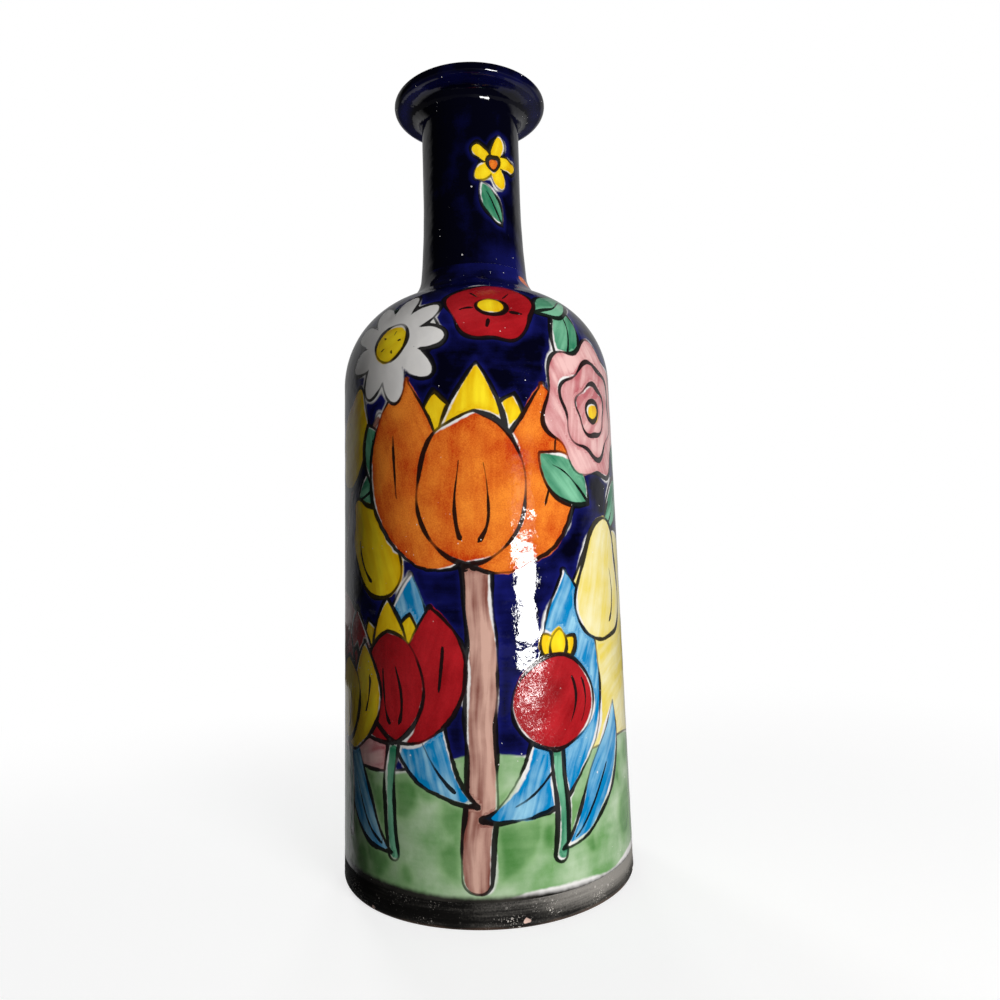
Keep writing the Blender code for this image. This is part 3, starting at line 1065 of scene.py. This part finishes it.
GROUP_NUMBERS = (
    "Distance", "Fray", "Streak", "Cloud", "Grain",
    "Tone", "Streakiness", "Cloudiness", "Graininess", "Rim", "Softness", "Crystals",
)


def pigment_group():
    """Lays one pigment over a colour. Its usual tone is moved by four shares, and its edge is a soft step.
    The roughness of the gloss goes along with the colour."""
    group = bpy.data.node_groups.new("brushed pigment", "ShaderNodeTree")
    for name in ("Under", "Thin", "Thick"):
        group.interface.new_socket(name, in_out="INPUT", socket_type="NodeSocketColor")
    for name in (*GROUP_NUMBERS, "Rough under"):
        group.interface.new_socket(name, in_out="INPUT", socket_type="NodeSocketFloat")
    group.interface.new_socket("Colour", in_out="OUTPUT", socket_type="NodeSocketColor")
    group.interface.new_socket("Rough", in_out="OUTPUT", socket_type="NodeSocketFloat")
    given = put(group, "NodeGroupInput").outputs
    tone = given["Tone"]
    for texture, share in (("Streak", "Streakiness"), ("Cloud", "Cloudiness"), ("Grain", "Graininess")):
        swing = times(group, calc(group, "SUBTRACT", given[texture], 0.5), TEXTURE_SWING)
        tone = plus(group, tone, times(group, swing, given[share]))
    rim = ease(group, given["Distance"], *RIM_REACH)
    tone = calc(group, "ADD", tone, times(group, rim, given["Rim"]), clamp=True)
    colour = mix(group, tone, given["Thin"], given["Thick"])
    torn = times(group, calc(group, "SUBTRACT", given["Fray"], 0.5), FRAY)
    frayed = plus(group, given["Distance"], torn)
    inner = times(group, given["Softness"], -0.45)
    outer = times(group, given["Softness"], 0.55)
    cover = ease(group, frayed, inner, outer, 1.0, 0.0)
    done = put(group, "NodeGroupOutput")
    join(group, mix(group, cover, given["Under"], colour), done.inputs["Colour"])
    rough = ease(group, cover, 0.0, 1.0, given["Rough under"], given["Crystals"])
    join(group, rough, done.inputs["Rough"])
    return group


brushed_pigment = pigment_group()
print("pigments:", ", ".join(PIGMENTS))

# %% Painted glaze
BROAD_STREAKS, FINE_STREAKS = (0.030, 0.24, 1.0), (0.050, 0.80, 1.0)
CRYSTAL_CELLS, CRYSTAL_LEAN, CRYSTAL_GLOSS = 2.6, 0.13, 0.18
BARE_ROUGH = 0.02
GLAZE_IOR = 1.52
BODY_RINGS, NECK_RUNS = (0.06, 0.06, 0.42), (0.12, 0.12, 0.03)


def brushed_line(tree, width):
    """How far a point is from the nearest brush line of that half width: the least, over the layers, of the
    distance across the line, or of the number that hides it where that is more."""
    nearest = FAR
    for group in range(0, LAYERS, 3):
        across = vector(tree, "ABSOLUTE", stored(tree, f"line_{group}", "Vector"))
        across = put(tree, "ShaderNodeSeparateXYZ", {0: across}).outputs
        hidden = put(tree, "ShaderNodeSeparateXYZ", {0: stored(tree, f"hidden_{group}", "Vector")}).outputs
        for part, cover in zip(across, hidden):
            shown = calc(tree, "MAXIMUM", calc(tree, "SUBTRACT", part, width), cover)
            nearest = calc(tree, "MINIMUM", nearest, shown)
    return nearest


def specks(tree, place, scale, rarity, size):
    """Specks of dust or bare glaze: 1 inside a small dot in those cells of a Voronoi pattern whose own number
    is above rarity."""
    cells = put(tree, "ShaderNodeTexVoronoi", {"Vector": place, "Scale": scale})
    lucky = put(tree, "ShaderNodeSeparateColor", {0: cells.outputs["Color"]}).outputs[0]
    return calc(tree, "LESS_THAN", cells.outputs["Distance"], ease(tree, lucky, rarity, 1.0, 0.0, size))


def facets(tree, place, normal, rough):
    """Tiny crystals in the glaze: each cell of a Voronoi pattern leans its own way, more where it's rough."""
    cells = put(tree, "ShaderNodeTexVoronoi", {"Vector": place, "Scale": CRYSTAL_CELLS}).outputs["Color"]
    lean = vector(tree, "SUBTRACT", cells, (0.5, 0.5, 0.5))
    amount = {0: lean, "Scale": times(tree, rough, CRYSTAL_LEAN)}
    lean = put(tree, "ShaderNodeVectorMath", amount, operation="SCALE").outputs[0]
    return vector(tree, "NORMALIZE", vector(tree, "ADD", normal, lean))


def painted_glaze(name, pigments, ring_streaks):
    """White glaze with pigments brushed on it and a clear gloss over all. ring_streaks stretches the streaks
    of the ground colours, which were laid on the turning wheel or down the neck."""
    material, tree, shader = new_material(name)
    place = millimetres(tree)
    slant = askew(tree, place)
    stroke = stored(tree, "stroke", "Vector")
    broad = noise(tree, stretch(tree, stroke, BROAD_STREAKS), 1.0)
    fine = noise(tree, stretch(tree, stroke, FINE_STREAKS), 1.0)
    streak = ease(tree, plus(tree, times(tree, broad, 0.75), times(tree, fine, 0.25)), 0.28, 0.72)
    ring = noise(tree, stretch(tree, place, ring_streaks), 1.0)
    cloud = noise(tree, slant, 0.075, 4.0)
    fray = noise(tree, slant, 0.45, 1.0)
    grain = noise(tree, place, 2.2)
    colour, rough = mix(tree, noise(tree, place, 0.2), WHITE_GLAZE, GREY_GLAZE), BARE_ROUGH
    for pigment, (thin, thick, *shares) in pigments.items():
        layer = put(tree, "ShaderNodeGroup", node_tree=brushed_pigment)
        brush = ring if pigment in WHEEL_PIGMENTS else streak
        values = (colour, thin, thick, stored(tree, pigment), fray, brush, cloud, grain, *shares, rough)
        for key, value in zip(("Under", "Thin", "Thick", *GROUP_NUMBERS, "Rough under"), values):
            join(tree, value, layer.inputs[key])
        colour, rough = layer.outputs
    loaded = noise(tree, slant, 0.07, 1.0)
    line = brushed_line(tree, ease(tree, loaded, 0.30, 0.70, 0.40, 1.12))
    line = plus(tree, line, times(tree, calc(tree, "SUBTRACT", fray, 0.5), 0.30))
    strength = ease(tree, loaded, 0.30, 0.46, 0.62, 0.97)
    ink = times(tree, ease(tree, line, -0.22, 0.12, 1.0, 0.0), strength)
    colour = mix(tree, ink, colour, LINE_INK)
    crowd = ease(tree, noise(tree, slant, 0.035), 0.52, 0.66)
    for scale, rarity, size, share in ((0.24, 0.90, 0.09, 0.7), (0.8, 0.86, 0.20, crowd)):
        speck = specks(tree, place, scale, rarity, size)
        colour = mix(tree, times(tree, speck, share), colour, WHITE_GLAZE)
    relief = plus(
        tree,
        times(tree, noise(tree, place, 1.5, 3.0), times(tree, rough, 0.5)),
        times(tree, noise(tree, place, 1.3), 0.2),
        times(tree, noise(tree, slant, 0.45), 0.7),
        times(tree, ink, 0.20),
        times(tree, noise(tree, slant, 0.11), 4.6),
    )
    normal = facets(tree, place, bumped(tree, relief, 0.35, 0.2), rough)
    gloss = plus(tree, ease(tree, cloud, 0.3, 0.8, 0.02, 0.05), times(tree, rough, CRYSTAL_GLOSS))
    coat(tree, shader, colour, gloss, normal)
    shader.inputs["IOR"].default_value = GLAZE_IOR
    return material


body.data.materials.append(painted_glaze("painted glaze", PIGMENTS, BODY_RINGS))
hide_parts("body_glaze")
print(f"painted glaze: {len(body.data.materials[0].node_tree.nodes)} nodes")

# %% [markdown]
# ## Cobalt neck and lip
#
# The neck carries a deep cobalt coat that turns almost black where it is thick, with a small yellow flower on
# each side. The coat goes over the lip and ends just inside the mouth, so its line runs up the neck, round
# the lip and down into the bore.

# %% Neck
NECK_ROWS, NECK_COLUMNS = 190, 256
NECK_COBALT = (shade(30, 34, 128), shade(3, 3, 16), 1.03, 0.12, 0.20, 0.05, -0.36, 1.1, 0.06)
SEAM = 0.02
# how far below the lip's widest point the band of painted light lies, in mm along the line
PAINTED_LIGHT_DROP = 5.0
NECK_LOOSE = 0.6


def neck_coat(canvas, rim_rise):
    """Cobalt all over. Its distance comes near zero, which thins it, along a band under the rim and in one
    place at the foot. The band under the rim is painted light on the lip's underside, drawn as thinner, bluer
    cobalt."""
    # painted light: a band of thinner, bluer cobalt on the lip's underside, where light falls on it
    rim = -0.6 - 0.5 * np.abs(canvas.rise - rim_rise + PAINTED_LIGHT_DROP)
    smear = -0.9 - 0.30 * np.maximum(oval(*canvas.at(46, 0, 20), 8.0, 3.0), 0)
    canvas.wash("cobalt", np.maximum(rim, smear))


def neck_flowers(canvas):
    """One small star of yellow petals on each side of the neck, with a leaf."""
    for degrees, rise in ((27, 40), (205, 34)):
        leaf(canvas, degrees + 6, rise - 24, 18, 8, -28)
        place = canvas.at(degrees, rise, 14.0)
        canvas.paint(rosette(5, 5.6, 3.1, 5.4), place, "yellow", inset=0.35)
        canvas.paint(lambda x, y: np.hypot(x, y) - 2.6, place, "orange", inset=0.3)


neck_line = np.vstack([cut(wall_line, neck_joint + SEAM, lip_line[0, 1])[:-1], lip_line])
neck_face = even(neck_line, NECK_ROWS)
neck_back = inward(neck_face, GLAZE)[::-3]
neck, angle, radius, _ = turned("cobalt_neck", neck_face, neck_back, NECK_COLUMNS, swell)
neck_canvas = open_canvas(neck_face, angle, radius, NECK_LOOSE)
neck_coat(neck_canvas, walked(neck_face)[np.argmax(neck_face[:, 0])])
neck_flowers(neck_canvas)
keep_painting(neck, neck_canvas, len(neck_back))
neck_pigments = {"cobalt": NECK_COBALT, **{name: PIGMENTS[name] for name in ("teal", "yellow", "orange")}}
neck.data.materials.append(painted_glaze("cobalt glaze", neck_pigments, NECK_RUNS))
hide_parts("neck_glaze")
print(f"neck: {neck_canvas.count} brushed shapes")

# %% [markdown]
# ## Foot band
#
# Below the glaze the foot is bare clay under one coat of dark slip, put on with a wide brush while the wheel
# turned. It is matt and streaked, with specks of glaze and small chips. The lowest edge has worn to the clay.

# %% Foot
RING_WIDTH = 9.0
FOOT_EDGE = 1.2
LEDGE = 2.5
FOOT_ROWS, FOOT_COLUMNS = 32, 640
FLOOR_GAP = 0.3
# angle in degrees, place up the foot, half width, half height and depth in mm
CHIPS = (
    (12, 2.3, 1.3, 0.9, 0.35),
    (-46, 1.2, 0.9, 0.7, 0.25),
    (74, 0.9, 1.6, 0.8, 0.3),
    (161, 1.6, 1.4, 1.0, 0.35),
)
band_top = glaze_foot - SEAM
foot_top = np.interp(band_top, wall_line[:, 1], wall_line[:, 0])


def chipped(angle, z):
    """Distance to the nearest chip, in units of its size, and how deep the chips go there: a round bowl."""
    nearest, dent = np.full(angle.shape, FAR), np.zeros(angle.shape)
    for degrees, height_up, across, up, depth in CHIPS:
        x, y = turn_from(angle, degrees) * base_radius, z - height_up
        size = np.hypot(x / across, y / up) * (1 + 0.18 * np.sin(3 * np.arctan2(y, x) + degrees))
        nearest = np.minimum(nearest, size)
        dent = np.maximum(dent, depth * np.sqrt(np.clip(1 - size**2, 0, 1)))
    return nearest, dent


def worn(angle, z):
    """Unevenness of the slip in mm: soft brush ridges round the foot, a wander, and the chips."""
    ridges = 0.035 * np.sin(z * 2.1 + 1.2 * np.sin(3 * angle)) * np.sin(z * 0.9 + angle)
    return ridges + 0.05 * np.sin(7 * angle + z / 3) + swell(angle, z) - chipped(angle, z)[1]


foot_edge = arc((base_radius - FOOT_EDGE, FOOT_EDGE), FOOT_EDGE, FOOT_EDGE, -math.pi / 2, 0.0, 8)
foot_wall = even(np.array([[base_radius - SEAM, FOOT_EDGE], [foot_top, band_top]]), FOOT_ROWS)[1:]
foot_face = np.vstack([foot_edge, foot_wall])
foot_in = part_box("base_disc")[1].x / MM + FLOOR_GAP
foot_back = np.array([
    [foot_in, band_top],
    [foot_in, LEDGE],
    [base_radius - RING_WIDTH, LEDGE],
    [base_radius - RING_WIDTH, 0.0],
])
foot, angle, _, z = turned("slip_foot", foot_face, foot_back, FOOT_COLUMNS, worn)
store(foot, "chip", chipped(angle, z)[0])
print(f"foot: {foot_height:.1f} mm high, {len(CHIPS)} chips")


# %% Slip finish
# the side of the foot that is painted lighter, as if lit: towards the lamps at the front right
LIT_SIDE = (0.88, -0.47, 0.0)
SLIP_SHINE = 0.15
SLIP_BLACK, SLIP_GREY = shade(13, 12, 11), shade(138, 134, 128)
WORN_CLAY, CHIP_CLAY, DUST = shade(92, 70, 56), shade(206, 176, 164), shade(206, 200, 192)


def slip_material():
    """Dark slip: soft streaks round the foot, painted light that turns it grey on the side towards the lamps
    and near the top of the band, with dust, chips and a worn edge.
    """
    material, tree, shader = new_material("dark slip")
    place = millimetres(tree)
    height_up = put(tree, "ShaderNodeSeparateXYZ", {0: place}).outputs["Z"]
    streak = noise(tree, stretch(tree, place, (0.03, 0.03, 0.9)), 1.0, 3.0)
    cloud = noise(tree, place, 0.06, 2.0)
    grain = noise(tree, place, 1.8, 3.0)
    # painted light: the slip is drawn greyer on the side that faces the lamps, and more so near the top of
    # the band
    painted_light = ease(tree, vector(tree, "DOT_PRODUCT", place, LIT_SIDE), 28.0, 57.0, 0.0, 0.48)
    painted_light = times(tree, painted_light, ease(tree, height_up, 1.0, 7.5, 0.15, 1.0))
    thin = plus(tree, times(tree, streak, 0.45), times(tree, cloud, 0.3), painted_light, times(tree, grain, 0.25))
    colour = mix(tree, ease(tree, thin, 0.46, 1.02), SLIP_BLACK, SLIP_GREY)
    worn_edge = calc(tree, "SUBTRACT", height_up, times(tree, cloud, 2.4))
    colour = mix(tree, ease(tree, worn_edge, -1.2, 0.2, 0.7, 0.0), colour, WORN_CLAY)
    dust = ease(tree, noise(tree, askew(tree, place), 0.16, 3.0), 0.46, 0.70, 0.0, 0.9)
    dust = times(tree, dust, ease(tree, height_up, 4.0, 8.0, 1.0, 0.3))
    for scale, rarity, size in ((2.4, 0.30, 0.40), (1.1, 0.62, 0.34), (0.6, 0.88, 0.30)):
        speck = specks(tree, place, scale, rarity, size)
        colour = mix(tree, times(tree, speck, dust), colour, DUST)
    colour = mix(tree, ease(tree, stored(tree, "chip"), 0.80, 1.0, 1.0, 0.0), colour, CHIP_CLAY)
    relief = plus(tree, streak, times(tree, noise(tree, place, 2.5, 3.0), 0.8))
    coat(tree, shader, colour, ease(tree, grain, 0.3, 0.7, 0.60, 0.85), bumped(tree, relief, 0.5, 0.2))
    shader.inputs["Specular IOR Level"].default_value = SLIP_SHINE
    return material


foot.data.materials.append(slip_material())
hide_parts("foot_band")
print(f"slip: {len(foot.data.materials[0].node_tree.nodes)} nodes")

# %% [markdown]
# ## Bare clay
#
# The floor slab shows its raw clay underneath, and the sections of the wall are hidden between their coats of
# glaze. These solids have the right shape already, so they stay, and get a fired-clay finish with sandy
# grain. The lining inside gets the same white glaze as the outside, without paint.


# %% Clay and lining
WARM_CLAY, DEEP_CLAY, RING_CLAY = shade(204, 154, 120), shade(172, 120, 92), shade(140, 92, 68)
SAND, IRON, CHALK = shade(222, 194, 168), shade(92, 60, 46), shade(226, 214, 200)
OLD_GLAZE = shade(206, 202, 194)


def clay_material():
    """Fired clay: a warm body with sandy grain, and rings from the turning tool, which follow the distance
    from the axis and drift a little, so that they don't close on themselves."""
    material, tree, shader = new_material("fired clay")
    place = millimetres(tree)
    cloud = noise(tree, askew(tree, place), 0.05, 4.0)
    sand = noise(tree, place, 3.0, 3.0)
    reach = vector(tree, "LENGTH", stretch(tree, place, (1.0, 1.0, 0.0)))
    drifted = plus(tree, reach, times(tree, cloud, 2.0))
    ring = noise(tree, put(tree, "ShaderNodeCombineXYZ", {"X": drifted}).outputs[0], 0.45, 2.0)
    colour = mix(tree, ease(tree, cloud, 0.3, 0.7), WARM_CLAY, DEEP_CLAY)
    colour = mix(tree, ease(tree, ring, 0.38, 0.62, 0.30, 0.0), colour, RING_CLAY)
    colour = mix(tree, ease(tree, sand, 0.55, 0.75, 0.0, 0.6), colour, SAND)
    for scale, rarity, size, speck in ((0.7, 0.86, 0.30, IRON), (0.9, 0.90, 0.28, CHALK)):
        colour = mix(tree, specks(tree, place, scale, rarity, size), colour, speck)
    relief = plus(tree, times(tree, ring, 2.0), sand)
    coat(tree, shader, colour, ease(tree, sand, 0.2, 0.8, 0.74, 0.9), bumped(tree, relief, 0.5, 0.3))
    return material


def lining_material():
    """Plain white glaze with soft clouds and a glossy skin."""
    material, tree, shader = new_material("lining glaze")
    place = millimetres(tree)
    cloud = noise(tree, place, 0.07, 3.0)
    colour = mix(tree, cloud, WHITE_GLAZE, OLD_GLAZE)
    normal = bumped(tree, noise(tree, place, 0.5), 0.2, 0.2)
    coat(tree, shader, colour, ease(tree, cloud, 0.3, 0.8, 0.08, 0.16), normal)
    return material


CLAY_NODES = ("base_disc", "body_wall", "shoulder_dome", "neck_tube", "lip_ring")
finishes = {**dict.fromkeys(CLAY_NODES, clay_material()), "inner_glaze": lining_material()}
for node, finish in finishes.items():
    frame["nodes"][node].data.materials.clear()
    frame["nodes"][node].data.materials.append(finish)
print(f"clay and lining: {len(finishes)} CAD solids with new finishes")
